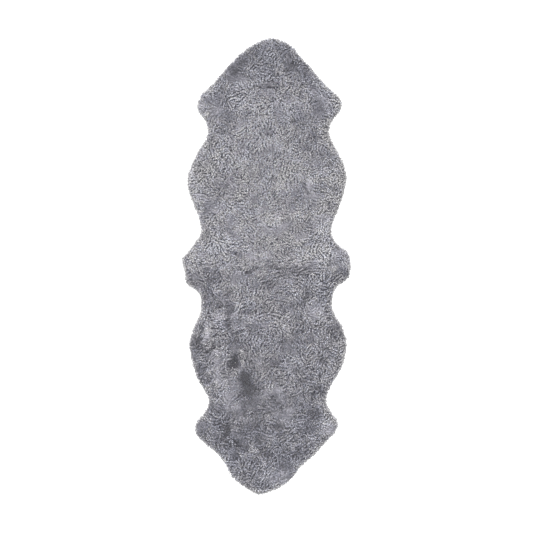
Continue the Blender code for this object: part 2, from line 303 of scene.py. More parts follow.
# Softer mottling over all: size of the clouds, and their strength on the far and the near pelt
Cloud = namedtuple("Cloud", "size far near")
CLOUDS = (
    Cloud(90 * MM, 0.08, 0.02),
    Cloud(45 * MM, 0.14, 0.04),
    Cloud(22 * MM, 0.11, 0.12),
)
LOCK_TONE = {"far": 0.06, "near": 0.07}
# Share of the layers' painted shade and light that each pelt's curls get
LAYER_PAINTED_SHADE = {"far": 0.2, "near": 1.0}  # share of the layers' difference in tone
CURL_TONE = 0.04  # how much curls side by side differ
# Painted shade in the grooves between locks, and the half width over which it fades
GROOVE_PAINTED_SHADE, GROOVE_SHADE_HALF = -0.15, 2.5 * MM  # between locks
# Painted light of the pale rim: what is added to the curls' tone, the least fluff that pales the close wool
# there, and the reach of both from the wool's edge
RIM_PAINTED_LIGHT, RIM_PAINTED_LIGHT_FLUFF, RIM_REACH = 0.42, 0.8, 15.0 * MM
# The share of the curls that have the warmer shade falls from the join to the neck, and rises at the rim
WARM_AT_JOIN, WARM_AT_NECK = 0.66, 0.20
NECK_START, NECK_END = 0.38, 0.80  # metres from the join
WARM_CLOUDS = ((75 * MM, 0.35), (33 * MM, 0.25))
WARM_RIM, WARM_RIM_REACH = 0.6, 20.0 * MM


def smooth_noise(points, size, seed):
    """Random values on a square lattice, size apart, joined by smoothsteps in X and Y: from -1 to 1."""
    count = 96  # lattice points each way before the pattern comes again
    lattice = np.random.default_rng(seed).uniform(-1, 1, (count, count))
    at = points[:, :2] / size
    cell = np.floor(at).astype(int)
    u, v = (lambda part: part * part * (3 - 2 * part))(at - cell).T
    (i, j), (i2, j2) = (cell % count).T, ((cell + 1) % count).T
    near = lattice[i, j] * (1 - u) + lattice[i2, j] * u
    far = lattice[i, j2] * (1 - u) + lattice[i2, j2] * u
    return near * (1 - v) + far * v


def resample(line, step):
    """The same line with points an equal distance apart, about a step."""
    along = np.concatenate([[0], np.cumsum(np.linalg.norm(np.diff(line, axis=0), axis=1))])
    at = np.linspace(0, along[-1], round(along[-1] / step) + 1)
    return np.stack([np.interp(at, along, line[:, k]) for k in range(2)], axis=1)


class Locks:
    """How the wool parts into locks: cells round shaken points of a square lattice."""

    COUNT = 128  # lattice points each way before the pattern comes again

    def __init__(self, size, seed):
        rng = np.random.default_rng(seed)
        self.size = size
        self.middle = rng.uniform(*LOCK_SHAKE, (self.COUNT, self.COUNT, 2))
        self.swirl = rng.uniform(-1, 1, (self.COUNT, self.COUNT))
        self.bend = rng.uniform(-1, 1, (self.COUNT, self.COUNT)) * LOCK_BEND
        self.tone = rng.normal(0, 1, (self.COUNT, self.COUNT))

    def of(self, points):
        """For each point: the lattice place of its lock, the way from the lock's middle to it, and how
        far it is from the parting, half the difference of its distances to the two nearest middles."""
        cell = np.floor(points[:, :2] / self.size).astype(int)
        first, second = np.full(len(points), 1e9), np.full(len(points), 1e9)
        place, way = np.zeros((len(points), 2), int), np.zeros((len(points), 2))
        for shift in np.ndindex(3, 3):
            at = cell + shift - 1
            lattice = at % self.COUNT
            gap = points[:, :2] - (at + self.middle[lattice[:, 0], lattice[:, 1]]) * self.size
            distance = np.linalg.norm(gap, axis=1)
            closer = distance < first
            second = np.where(closer, first, np.minimum(second, distance))
            first = np.where(closer, distance, first)
            place[closer], way[closer] = lattice[closer], gap[closer]
        return place, way, (second - first) / 2


class Pelt:
    """One pelt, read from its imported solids: the cut edge of its hide, its join, and maps of the wool's
    height and of the distance inside the wool's edge."""

    def __init__(self, name):
        self.name = name
        self.way = 1 if name == "far" else -1
        self.locks = Locks(LOCK_SIZE[name], seed=31)
        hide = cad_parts["hide_" + name]
        corners = np.array([v.co for v in hide.data.vertices])
        self.edge, self.join = self.walk_round(hide, corners)
        self.outline = np.vstack([self.edge, self.join[1:-1] if self.way < 0 else self.join[-2:0:-1]])
        self.low = self.outline.min(0) - MAP_MARGIN
        spans = np.ceil((self.outline.max(0) + MAP_MARGIN - self.low) / MAP_STEP).astype(int)
        self.xs, self.ys = (self.low[k] + MAP_STEP * np.arange(spans[k] + 1) for k in range(2))
        y, x = np.meshgrid(self.ys, self.xs, indexing="ij")
        places = np.stack([x.ravel(), y.ravel()], axis=1)
        self.inset_map = self.measure_inset(places).reshape(x.shape)
        crown = self.crown_map(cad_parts["fleece_" + name])
        share = np.interp(self.inset_map, [c.inset for c in CANOPY], [c.share for c in CANOPY])
        parting = self.locks.of(places)[2].reshape(x.shape)
        groove = np.exp(-((parting / (GROOVE_HALF * self.locks.size)) ** 2)) - GROOVE_MEAN
        deep = PARTING_DEPTH * in_parting(places).reshape(x.shape)
        swell = PATCH_SWELL * patchwork(places)[0].reshape(x.shape)
        self.canopy_map = (crown - LOCK_HEIGHT[name] * groove - deep + swell) * share

    def walk_round(self, hide, corners):
        """Follows the border of the hide's underside round, and parts it at the corners by the join. The
        edge runs from the join's left end over the neck to its right end, and the join runs along X."""
        faces = np.zeros(len(hide.data.polygons) * 3, int)
        hide.data.polygons.foreach_get("vertices", faces)
        keys, index = np.unique(np.round(corners, 5), axis=0, return_inverse=True)
        faces = index.reshape(-1)[faces].reshape(-1, 3)
        under = faces[(keys[faces][..., 2] < HIDE_THICKNESS / 2).all(1)]
        sides = np.concatenate([under[:, [0, 1]], under[:, [1, 2]], under[:, [2, 0]]])
        known = {tuple(side) for side in sides.tolist()}
        following = {a: b for a, b in known if (b, a) not in known}
        loop = [min(following)]
        while following[loop[-1]] != loop[0]:
            loop.append(following[loop[-1]])
        loop = keys[loop][:, :2]
        by_join = np.abs(loop[:, 1]) < JOIN_REACH
        left = np.flatnonzero(by_join)[(loop[by_join] @ (1, self.way)).argmin()]
        loop = np.roll(loop, -left, axis=0)
        if (loop[1, 1] - loop[0, 1]) * self.way < OUTLINE_STEP:
            loop = np.roll(loop[::-1], 1, axis=0)
        by_join = np.abs(loop[:, 1]) < JOIN_REACH
        right = np.flatnonzero(by_join)[(loop[by_join] @ (1, -self.way)).argmax()]
        edge, join = loop[: right + 1], np.vstack([loop[right:], loop[:1]])
        return resample(edge, OUTLINE_STEP), join[np.argsort(join[:, 0])]

    def measure_inset(self, places):
        """Distance inside the wool's edge, which lies a rim's width outside the hide's; below 0 outside."""
        a, b = self.edge[:-1], self.edge[1:]
        run = b - a
        normal = np.stack([-run[:, 1], run[:, 0]], axis=1) * -self.way
        found = []
        for some in np.array_split(places, max(1, len(places) // 4000)):
            t = np.clip(((some[:, None] - a) * run).sum(-1) / (run**2).sum(-1), 0, 1)
            gap = some[:, None] - (a + t[..., None] * run)
            distance = np.linalg.norm(gap, axis=-1)
            row, best = np.arange(len(some)), distance.argmin(1)
            side = (gap[row, best] * normal[best]).sum(-1)
            found.append(np.copysign(distance[row, best], side))
        return np.concatenate(found) + RIM

    def crown_map(self, fleece):
        """Height of the pile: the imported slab's top points, gathered on the map and blurred by a bell
        curve in X and in Y, as a weighted mean."""
        points = np.array([v.co for v in fleece.data.vertices])
        points = points[points[:, 2] > CROWN_FLOOR]
        points = points[self.read(self.inset_map, points) > CROWN_INSET]
        i, j = (np.round((points[:, k] - self.low[k]) / MAP_STEP).astype(int) for k in (1, 0))
        weight, height = np.zeros((2, *self.inset_map.shape))
        np.add.at(weight, (i, j), 1)
        np.add.at(height, (i, j), points[:, 2])
        bell = [
            np.exp(-((at[:, None] - at) ** 2) / (2 * CROWN_BLUR**2)) + 1e-9 for at in (self.ys, self.xs)
        ]
        return (bell[0] @ height @ bell[1]) / (bell[0] @ weight @ bell[1])

    def read(self, field, points):
        """A map's value at each point, between its four nearest places."""
        at = (points[:, :2] - self.low) / MAP_STEP
        cell = np.clip(at.astype(int), 0, (len(self.xs) - 2, len(self.ys) - 2))
        (u, v), (j, i) = (at - cell).T, cell.T
        near_row = field[i, j] * (1 - u) + field[i, j + 1] * u
        far_row = field[i + 1, j] * (1 - u) + field[i + 1, j + 1] * u
        return near_row * (1 - v) + far_row * v

    def slope(self, field, points):
        """Change of a map's value per metre, in X and in Y."""
        steps = MAP_STEP * np.eye(2)
        sides = [self.read(field, points + step) - self.read(field, points - step) for step in steps]
        return np.stack(sides, axis=1) / (2 * MAP_STEP)

    def at_rim(self, points, reach=RIM_REACH):
        """How near the rim points are: a bell curve of the distance inside the wool's edge, 1 outside."""
        return np.exp(-((np.maximum(self.read(self.inset_map, points), 0) / reach) ** 2))

    def past_join(self, points):
        """How far points lie on this pelt's side of the join."""
        return (points[:, 1] - np.interp(points[:, 0], *self.join.T)) * self.way

    def out_of_edge(self, line):
        """Directions along a line that follows the hide's edge, and out of the pelt at right angles."""
        run = np.gradient(line, axis=0)
        run /= np.linalg.norm(run, axis=1)[:, None]
        return run, np.stack([-run[:, 1], run[:, 0]], axis=1) * self.way


def wool_shade(pelt, points, rng):
    """Which shade each curl has: most are the warmer one by the join and at the rim, and few at the neck.
    Soft clouds vary it."""
    to_neck = np.clip((np.abs(points[:, 1]) - NECK_START) / (NECK_END - NECK_START), 0, 1)
    warm = WARM_AT_JOIN + (WARM_AT_NECK - WARM_AT_JOIN) * to_neck
    for number, (size, strength) in enumerate(WARM_CLOUDS):
        warm += strength * smooth_noise(points, size, seed=63 + number)
    warm += WARM_RIM * pelt.at_rim(points, WARM_RIM_REACH)
    return (rng.random(len(points)) < warm).astype(float)


def patchwork(points):
    """Tone and fluff that the patches add: each is a flat-topped bell over an oval, e to minus a power
    of the distance from its middle. Soft noise bends its outline."""
    shaken = [
        points[:, k] + PATCH_RAGGED * smooth_noise(points, PATCH_RAG_SIZE, seed=58 + k) for k in range(2)
    ]
    tone, fluff = np.zeros((2, len(points)))
    for number, (size, strength) in enumerate(FLUFF_CLOUDS):
        fluff += strength * smooth_noise(points, size, seed=50 + number)
    fluff += np.where(points[:, 1] > 0, FLUFF_LIFT["far"], FLUFF_LIFT["near"])
    for patch in PATCHES:
        turn = np.radians(patch.heading)
        dx, dy = shaken[0] - patch.x * MM, shaken[1] - patch.y * MM
        along = (dx * np.cos(turn) + dy * np.sin(turn)) / (patch.length * MM / 2)
        across = (dy * np.cos(turn) - dx * np.sin(turn)) / (patch.width * MM / 2)
        bell = np.exp(-((along**2 + across**2) ** PATCH_FLATNESS))
        tone += patch.tone * bell
        fluff += patch.fluff * bell
    return tone, np.clip(fluff, 0, 1)


def in_parting(points):
    """How deep in a parting points lie, from 0 to 1: a bell curve across a bowed line, which fades at the
    line's ends."""
    deep = np.zeros(len(points))
    for line in PARTINGS:
        turn = np.radians(line.heading)
        dx, dy = points[:, 0] - line.x * MM, points[:, 1] - line.y * MM
        along = (dx * np.cos(turn) + dy * np.sin(turn)) / (line.length * MM / 2)
        across = dy * np.cos(turn) - dx * np.sin(turn) - line.bow * MM * (1 - along**2)
        deep = np.maximum(deep, np.exp(-((across / PARTING_HALF) ** 2) - along**6))
    return deep


def wool_tone(pelt, points):
    """Tone of the wool before its curls differ: the patches, soft clouds of three sizes, the locks, painted
    shade in the grooves between them and in the partings, and painted light at the rim."""
    tone = BASE_TONE[pelt.name] + patchwork(points)[0]
    for number, cloud in enumerate(CLOUDS):
        tone += getattr(cloud, pelt.name) * smooth_noise(points, cloud.size, seed=5 + number)
    place, _, groove = pelt.locks.of(points)
    tone += LOCK_TONE[pelt.name] * pelt.locks.tone[place[:, 0], place[:, 1]]
    tone += GROOVE_PAINTED_SHADE * np.exp(-((groove / GROOVE_SHADE_HALF) ** 2)) + PARTING_PAINTED_SHADE * in_parting(points)
    return tone + RIM_PAINTED_LIGHT * pelt.at_rim(points)


# --- Meshes ----------------------------------------------------------------------------------------------

def put_mesh(name, points, faces, material, uv=None, fluff=None):
    """A mesh object from an array of points and arrays of faces, each array with its own number of
    corners, UV pairs for the corners in the same order, and how fluffed out the wool is at the points."""
    mesh = bpy.data.meshes.new(name)
    corners = np.concatenate([some.reshape(-1) for some in faces])
    sizes = np.concatenate([np.full(len(some), some.shape[1]) for some in faces])
    mesh.vertices.add(len(points))
    mesh.vertices.foreach_set("co", points.astype(np.float32).ravel())
    mesh.loops.add(len(corners))
    mesh.loops.foreach_set("vertex_index", corners.astype(np.int32))
    mesh.polygons.add(len(sizes))
    mesh.polygons.foreach_set("loop_start", (np.cumsum(sizes) - sizes).astype(np.int32))
    if uv is not None:
        layer = mesh.uv_layers.new(name="OFBake")
        layer.uv.foreach_set("vector", np.concatenate([some.reshape(-1) for some in uv]).astype(np.float32))
    if fluff is not None:
        mesh.attributes.new("fluff", "FLOAT", "POINT").data.foreach_set("value", fluff.astype(np.float32))
    mesh.update(calc_edges=True)
    mesh.validate()
    mesh.shade_smooth()
    mesh.materials.append(material)
    piece = bpy.data.objects.new(name, mesh)
    bpy.context.scene.collection.objects.link(piece)
    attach(piece, "root")
    return piece


def grid_faces(rows, columns):
    """Four-sided faces of a grid of points, row by row, turned up where rows run along Y and columns
    along X."""
    i, j = np.meshgrid(np.arange(rows - 1), np.arange(columns - 1), indexing="ij")
    first = (i * columns + j).ravel()
    return np.stack([first, first + 1, first + columns + 1, first + columns], axis=1)


def grid_border(rows, columns):
    """The border of such a grid, in the order that goes round it with the grid on the right."""
    index = np.arange(rows * columns).reshape(rows, columns)
    return np.concatenate([index[:, 0], index[-1, 1:], index[-2::-1, -1], index[0, -2:0:-1]])


# --- Curls -----------------------------------------------------------------------------------------------

# Places of a curl's rings along it, and how full it is at each. The last place is its tip.
CURL_RINGS = (0.0, 0.18, 0.28, 0.39, 0.50, 0.61, 0.72, 0.83, 0.94, 1.0)
CURL_FULLNESS = (0.62, 0.88, 0.99, 1.03, 1.03, 0.99, 0.90, 0.74, 0.44)
PLAIN_DEPTH = 1.0 * MM  # curls of layers below this are hardly seen, and have fewer rings
LOW_RINGS = (0.0, 0.28, 0.54, 0.80, 1.0)
LOW_FULLNESS = (0.62, 1.0, 0.98, 0.70)
WISP_RINGS = (0.0, 0.30, 0.58, 0.82, 1.0)
WISP_FULLNESS = (1.0, 0.95, 0.75, 0.5)
SIDES = 3
# On the wool's map each tone, from dark to pale, has a strip in each of its shades: a bluer, a warmer and a
# combed-out one. A strip goes once round a curl.
TONES = 40
WARMER, COMBED_OUT = 1, 2
SHADES = 3
STRIPS = TONES * SHADES
# Painted shade on combed-out wool, in place of the painted shade under and along a curl that it lacks
COMBED_PAINTED_SHADE = 0.66  # share of its tone that combed-out wool has, because it is pale all round
Strands = namedtuple("Strands", "root upward heading length turn wave phase width tone shade")


def above_floor(points):
    """Bends what would pass below the floor to lie just above it, as a hyperbola does to its asymptote.
    What the hyperbola adds above the floor is taken off again, in proportion to the height."""
    z = points[:, 2] - FLOOR_GAP
    bent = (z + np.sqrt(z**2 + FLOOR_BEND**2)) / 2 - FLOOR_EXTRA * np.maximum(z, 0) / FLOOR_REACH
    points[:, 2] = np.where(z < FLOOR_REACH, bent, z) + FLOOR_GAP
    return points


def strand_mesh(strands, rings, fullness, stem):
    """Tapering strands of three sides. A strand's centre line is the sum of short steps. Their heading
    turns evenly and waves as a sine of one wave length, and their pitch falls from near upright at the
    root to level, and a little below it at the tip. Each ring is a triangle across the line, with a
    corner up, as wide as its fullness says, and the last one is drawn to a point.
    Returns points, faces and UVs, where U is the strip and V the place from root to tip."""
    s = strands
    n, count = len(s.root), len(rings)
    rings, fullness = np.array(rings), np.array(fullness)
    total = s.length + stem
    stem_share = (stem / total)[:, None]
    waves = (s.length / WAVE_LENGTH)[:, None]
    east = np.array([1.0, 0, 0]) - s.upward[:, :1] * s.upward
    east /= np.linalg.norm(east, axis=1)[:, None]
    north = np.cross(s.upward, east)

    def angles(place):
        rest = np.clip((place - stem_share) / (1 - stem_share), 0, 1)
        wave = np.sin(2 * np.pi * (waves * rest + s.phase[:, None]))
        heading = s.heading[:, None] + s.turn[:, None] * rest + s.wave[:, None] * wave
        upright = np.interp(place / stem_share, (STEM_LEANS, STEM_LEVEL), (1, 0))
        return heading, ROOT_PITCH * upright - TIP_DROP * rest**1.5

    def turned(a, b, c):
        """A vector with parts to the east, to the north and out of the wool."""
        return a[..., None] * east[:, None] + b[..., None] * north[:, None] + c[..., None] * s.upward[:, None]

    heading, pitch = angles((rings[1:] + rings[:-1])[None] / 2)
    step = turned(np.cos(pitch) * np.cos(heading), np.cos(pitch) * np.sin(heading), np.sin(pitch))
    step *= (np.diff(rings)[None] * total[:, None])[..., None]
    line = np.concatenate([np.zeros((n, 1, 3)), np.cumsum(step, axis=1)], axis=1)
    height = (line * s.upward[:, None]).sum(-1).max(1)
    line += (s.root - s.upward * height[:, None])[:, None]

    heading, pitch = angles(rings[None, :-1])
    side = turned(-np.sin(heading), np.cos(heading), np.zeros_like(heading))
    above = turned(-np.sin(pitch) * np.cos(heading), -np.sin(pitch) * np.sin(heading), np.cos(pitch))
    corner = np.radians(90 + 360 / SIDES * np.arange(SIDES))[:, None]
    radius = (fullness[None] * s.width[:, None] / 2)[:, :, None, None]
    ring = np.cos(corner) * side[:, :, None] + CURL_FLATNESS * np.sin(corner) * above[:, :, None]
    points = np.concatenate([(line[:, :-1, None] + radius * ring).reshape(n, -1, 3), line[:, -1:]], axis=1)

    # each strand has the same faces: bands between rings, a pointed end, and a cap at the root
    last = count - 2
    ring_of, k = (a.ravel() for a in np.meshgrid(np.arange(last), np.arange(SIDES), indexing="ij"))
    at = np.stack([ring_of, ring_of, ring_of + 1, ring_of + 1], axis=1)
    around = np.stack([k, k + 1, k + 1, k], axis=1)
    quads = at * SIDES + around % SIDES
    quad_uv = np.stack([around / SIDES, rings[at]], axis=-1)
    k = np.arange(SIDES)
    tip = np.full(SIDES, (last + 1) * SIDES)
    tips = np.stack([last * SIDES + k, last * SIDES + (k + 1) % SIDES, tip], axis=1)
    tip_u = np.stack([k, k + 1, k + 0.5], axis=1) / SIDES
    tip_uv = np.stack([tip_u, np.tile(rings[[last, last, last + 1]], (SIDES, 1))], axis=-1)
    cap_uv = np.array([[[1, 0.0], [0.5, 0.02], [0, 0.0]]])
    triangles = np.concatenate([tips, [[2, 1, 0]]])
    triangle_uv = np.concatenate([tip_uv, cap_uv])
    first = np.arange(n)[:, None, None] * ((count - 1) * SIDES + 1)
    strip = np.floor(np.clip(s.tone, 0, 0.999) * TONES) * SHADES + s.shade
    shift = np.stack([strip, np.zeros(n)], axis=1)[:, None, None]
    return (
        above_floor(points.reshape(-1, 3)),
        [(quads + first).reshape(-1, 4), (triangles + first).reshape(-1, 3)],
        [((some + shift) / (STRIPS, 1)).reshape(-1, *some.shape[1:]) for some in (quad_uv, triangle_uv)],
    )


def rows_of_curls(pelt, layer, rng):
    """Middles, headings, wave phases and bends of a layer's curls, from the join to the neck. A lock's rows
    follow a circle of its own bend: v goes along it and u across it, and the circle is turned to the
    lock's heading. Places that lie in another lock are left out."""
    locks, name = pelt.locks, pelt.name
    low = np.floor((pelt.outline.min(0) - RIM) / locks.size).astype(int) - 1
    high = np.floor((pelt.outline.max(0) + RIM) / locks.size).astype(int) + 2
    lattice = np.stack(np.meshgrid(*map(np.arange, low, high), indexing="ij"), axis=-1).reshape(-1, 2)
    at = tuple((lattice % locks.COUNT).T)
    middle = (lattice + locks.middle[at]) * locks.size
    facing = FLOW_TURN * smooth_noise(middle, FLOW_SIZE, seed=77) + LOCK_SWIRL * locks.swirl[at]
    bend = locks.bend[at][:, None]

    reach = ROWS_REACH * locks.size
    rows, places = (np.arange(-reach, reach, pitch[name]) for pitch in (ROW_PITCH, CURL_PITCH))
    u, v = np.meshgrid(rows, places, indexing="ij")
    v = v + (np.arange(len(rows)) % 2)[:, None] * CURL_PITCH[name] / 2
    shape = (len(lattice), u.size)
    u = u.ravel() + (layer.shift + rng.uniform(-ROW_SHAKE, ROW_SHAKE, shape)) * ROW_PITCH[name]
    v = v.ravel() + (layer.shift + rng.uniform(-CURL_SHAKE, CURL_SHAKE, shape)) * CURL_PITCH[name]
    turned = bend * v
    along = np.sin(turned) / bend - u * np.sin(turned)
    across = (1 - np.cos(turned)) / bend + u * np.cos(turned)
    c, s = np.cos(facing)[:, None], np.sin(facing)[:, None]
    points = middle[:, None] + np.stack([along * c - across * s, along * s + across * c], axis=-1)
    heading, phase = turned + facing[:, None], v / WAVE_LENGTH + locks.tone[at][:, None]

    points, heading, phase = points.reshape(-1, 2), heading.ravel(), phase.ravel()
    own_lock, bend = (np.repeat(some, u.shape[1], axis=0) for some in (np.stack(at, axis=1), bend.ravel()))
    own = (locks.of(points)[0] == own_lock).all(1)
    inside = (pelt.read(pelt.inset_map, points) > CURL_INSET) & (pelt.past_join(points) > 0)
    keep = own & inside & (rng.random(len(points)) < layer.filled)
    order = np.argsort(np.abs(points[keep, 1]), kind="stable")
    return [some[keep][order] for some in (points, heading, phase, bend)]


def grow_curls(pelt, layer, places, rng):
    """The curls of a layer at the given places: waving along their row, or curled up into a ring. At the rim
    they turn outwards, by the join some hang over it, and where the wool is fluffed out they are wider,
    nearly straight, and combed out."""
    points, heading, phase, bend = places
    n = len(points)
    outward = -pelt.slope(pelt.inset_map, points)
    upward = np.column_stack([-pelt.slope(pelt.canopy_map, points), np.ones(n)])
    upward /= np.linalg.norm(upward, axis=1)[:, None]
    _, fluff = patchwork(points)
    at_rim = pelt.at_rim(points)

    heading = heading + rng.normal(0, layer.scatter, n)
    to_rim = np.arctan2(outward[:, 1], outward[:, 0]) + rng.normal(0, RIM_SCATTER, n)
    heading = np.where(rng.random(n) < RIM_TURNED * at_rim, to_rim, heading)
    over_seam = (pelt.past_join(points) < SEAM_REACH) & (pelt.way > 0) & (rng.random(n) < SEAM_TURNED)
    heading = np.where(over_seam, rng.normal(-np.pi / 2, SEAM_SCATTER, n), heading)

    ringed = rng.random(n) < layer.ringed * (1 - fluff)
    length = np.where(ringed, RING_LENGTH, CURL_LENGTH * CURL_PITCH[pelt.name])
    length = length * rng.uniform(*SIZE_SPREAD, n) * (1 - RIM_SHORT * at_rim)
    turn = np.radians(rng.uniform(*RING_TURN, n)) * rng.choice((-1, 1), n) * (1 - RIM_STRAIGHT * at_rim)
    turn = np.where(ringed, turn, bend * length)
    wave = np.radians(np.where(ringed, RING_WAVE, rng.uniform(*CURL_WAVE, n))) * (1 - FLUFF_STRAIGHT * fluff)
    width = CURL_WIDTH[pelt.name] * layer.width * rng.uniform(*SIZE_SPREAD, n) * (1 + FLUFF_WIDTH * fluff)

    back = heading + turn / 2
    to_root = np.where(ringed, RING_BACK, CURL_BACK) * length
    points = points - np.stack([np.cos(back), np.sin(back)], axis=1) * to_root[:, None]
    depth = (1 - FLUFF_RAISE * fluff) * layer.depth + rng.random(n) * SINK
    height = pelt.read(pelt.canopy_map, points) - CURL_FLATNESS * width / 2 - depth
    evened = 1 - FLUFF_EVEN * fluff
    # Painted shade and light by layer depth, and painted shade on fluffed-out curls
    tone = wool_tone(pelt, points) + LAYER_PAINTED_SHADE[pelt.name] * layer.tone * evened + FLUFF_PAINTED_SHADE * fluff
    tone += rng.normal(0, CURL_TONE, n) * evened
    combed = rng.random(n) < COMBED_RISE * fluff - COMBED_START
    shade = np.where(combed, COMBED_OUT, wool_shade(pelt, points, rng))
    tone = np.where(combed, COMBED_PAINTED_SHADE, 1.0) * tone
    phase = phase - length / 2 / WAVE_LENGTH
    root = np.column_stack([points, height])
    strands = Strands(root, upward, heading, length, turn, wave, phase, width, tone, shade)
    rings, fullness = (LOW_RINGS, LOW_FULLNESS) if layer.depth > PLAIN_DEPTH else (CURL_RINGS, CURL_FULLNESS)
    return strand_mesh(strands, rings, fullness, STEM)


# Strands in no row, in mm and degrees. The pitch of their places along the join or the rim, and ranges of
# their length, turn and wave. Of the seam's curls also: where the first one is, how far their places stray
# along and across the join, ranges of their width (in widths of a curl) and their depth below the canopy,
# and what is added to the tone. Of the rim's strands also: ranges of how far out and how high they root and
# how far they tilt outwards, and how much their headings scatter (radians)
SeamCurls = namedtuple("SeamCurls", "pitch start shake length width depth turn wave tone")
SEAM_CURLS = SeamCurls(3.6, 3, (2, 7), (11, 15), (0.9, 1.2), (1, 4.5), (-60, 60), (20, 55), -0.16)
RimStrands = namedtuple("RimStrands", "pitch out height tilt scatter length turn wave")
RIM_LOCKS = RimStrands(4.5, (3.5, 7), (4.5, 8.5), (18, 38), 0.45, (9, 13), (-90, 90), (0, 25))
RIM_LOCK_WIDTH = (0.8, 1.1)  # in widths of a curl
RIM_WISPS = RimStrands(2.2, (5, 12), (2, 8), (10, 40), 0.6, (7, 12), (-110, 110), (0, 30))
# The wisps' pale tone is painted light through thin fibres at the rim
WISP_WIDTH, WISP_PAINTED_LIGHT_TONE, WISP_STEM = (1.0, 2.0), (0.75, 0.98), 2.0  # mm, but for the tone


def seam_curls(pelt, rng):
    """Curls that lie every way over the join, so that it hardly shows between them."""
    kind = SEAM_CURLS
    x = np.arange(pelt.join[0, 0], pelt.join[-1, 0], kind.pitch * MM) + kind.start * MM
    n = len(x)
    points = np.column_stack([x, np.interp(x, *pelt.join.T)])
    points += rng.uniform(-1, 1, points.shape) * kind.shake * MM
    heading = rng.uniform(-np.pi, np.pi, n)
    length = rng.uniform(*kind.length, n) * MM
    points -= np.stack([np.cos(heading), np.sin(heading)], axis=1) * length[:, None] / 2
    width = CURL_WIDTH[pelt.name] * rng.uniform(*kind.width, n)
    depth = CURL_FLATNESS * width / 2 + rng.uniform(*kind.depth, n) * MM
    strands = Strands(
        root=np.column_stack([points, pelt.read(pelt.canopy_map, points) - depth]),
        upward=np.tile((0, 0, 1.0), (n, 1)),
        heading=heading,
        length=length,
        turn=np.radians(rng.uniform(*kind.turn, n)),
        wave=np.radians(rng.uniform(*kind.wave, n)),
        phase=rng.random(n),
        width=width,
        tone=wool_tone(pelt, points) + kind.tone + rng.normal(0, CURL_TONE, n),
        shade=wool_shade(pelt, points, rng),
    )
    return strand_mesh(strands, CURL_RINGS, CURL_FULLNESS, STEM)


def rim_places(pelt, pitch, rng):
    """Points along the hide's edge, drawn out and in by soft noise, and the directions out of it. At the
    ends of the join the directions fan out to lie along X, and more points fill the corner."""
    line = resample(pelt.edge, pitch)
    run, outward = pelt.out_of_edge(line)
    line = line + run * rng.uniform(-RIM_SHAKE, RIM_SHAKE, len(line))[:, None] * pitch
    line = line + outward * (RIM_LUMPS * smooth_noise(line, RIM_LUMP_SIZE, seed=91))[:, None]
    extra = round(CORNER_REACH / pitch)
    share = (np.arange(extra) + 0.5)[:, None] / extra
    for end, side, at in ((pelt.edge[0], -1.0, 0), (pelt.edge[-1], 1.0, len(outward) - 1)):
        fan = (1 - share) * (side, 0) + share * outward[at]
        corner = end + (-side * CORNER_INSET, pelt.way * CORNER_START) + share * (0, pelt.way * CORNER_LENGTH)
        line = np.vstack([line, corner])
        outward = np.vstack([outward, fan / np.linalg.norm(fan, axis=1)[:, None]])
    return line, outward


def rim_strands(pelt, kind, rng):
    """Where strands of a kind stand round the rim, and how each of them runs, up to its phase."""
    line, outward = rim_places(pelt, kind.pitch * MM, rng)
    n = len(line)
    out = rng.uniform(*kind.out, n) * MM
    points = line + outward * out[:, None]
    root = np.column_stack([points, rng.uniform(*kind.height, n) * MM])
    tilt = np.radians(rng.uniform(*kind.tilt, n))
    return points, dict(
        root=root,
        upward=np.column_stack([outward * np.sin(tilt)[:, None], np.cos(tilt)]),
        heading=np.arctan2(outward[:, 1], outward[:, 0]) + rng.normal(0, kind.scatter, n),
        length=np.minimum(rng.uniform(*kind.length, n) * MM, RIM_STRAND_REACH - out),
        turn=np.radians(rng.uniform(*kind.turn, n)),
        wave=np.radians(rng.uniform(*kind.wave, n)),
        phase=rng.random(n),
    )


def rim_locks(pelt, rng):
    """Low curls round the rim, from beside the hide's edge out and down to the floor."""
    points, run = rim_strands(pelt, RIM_LOCKS, rng)
    n = len(points)
    width = CURL_WIDTH[pelt.name] * rng.uniform(*RIM_LOCK_WIDTH, n)
    tone = wool_tone(pelt, points) + rng.normal(0, CURL_TONE, n)
    strands = Strands(width=width, tone=tone, shade=wool_shade(pelt, points, rng), **run)
    return strand_mesh(strands, LOW_RINGS, LOW_FULLNESS, STEM)


def rim_wisps(pelt, rng):
    """Thin wisps that stand out between the curls of the rim, pale with painted light."""
    points, run = rim_strands(pelt, RIM_WISPS, rng)
    n = len(points)
    width, tone = rng.uniform(*WISP_WIDTH, n) * MM, rng.uniform(*WISP_PAINTED_LIGHT_TONE, n)
    strands = Strands(width=width, tone=tone, shade=np.full(n, WARMER), **run)
    return strand_mesh(strands, WISP_RINGS, WISP_FULLNESS, WISP_STEM * MM)


# --- Close wool under the curls, hide and seam -------------------------------------------------------------

CLOSE_WOOL_GRID, HIDE_GRID = (126, 84), (75, 50)  # rows and columns
GRID_CROWDING = 0.35  # how much closer the places of a row are at its ends
JOIN_FADE = 12  # power of the fall by which the rows lose the join's bend


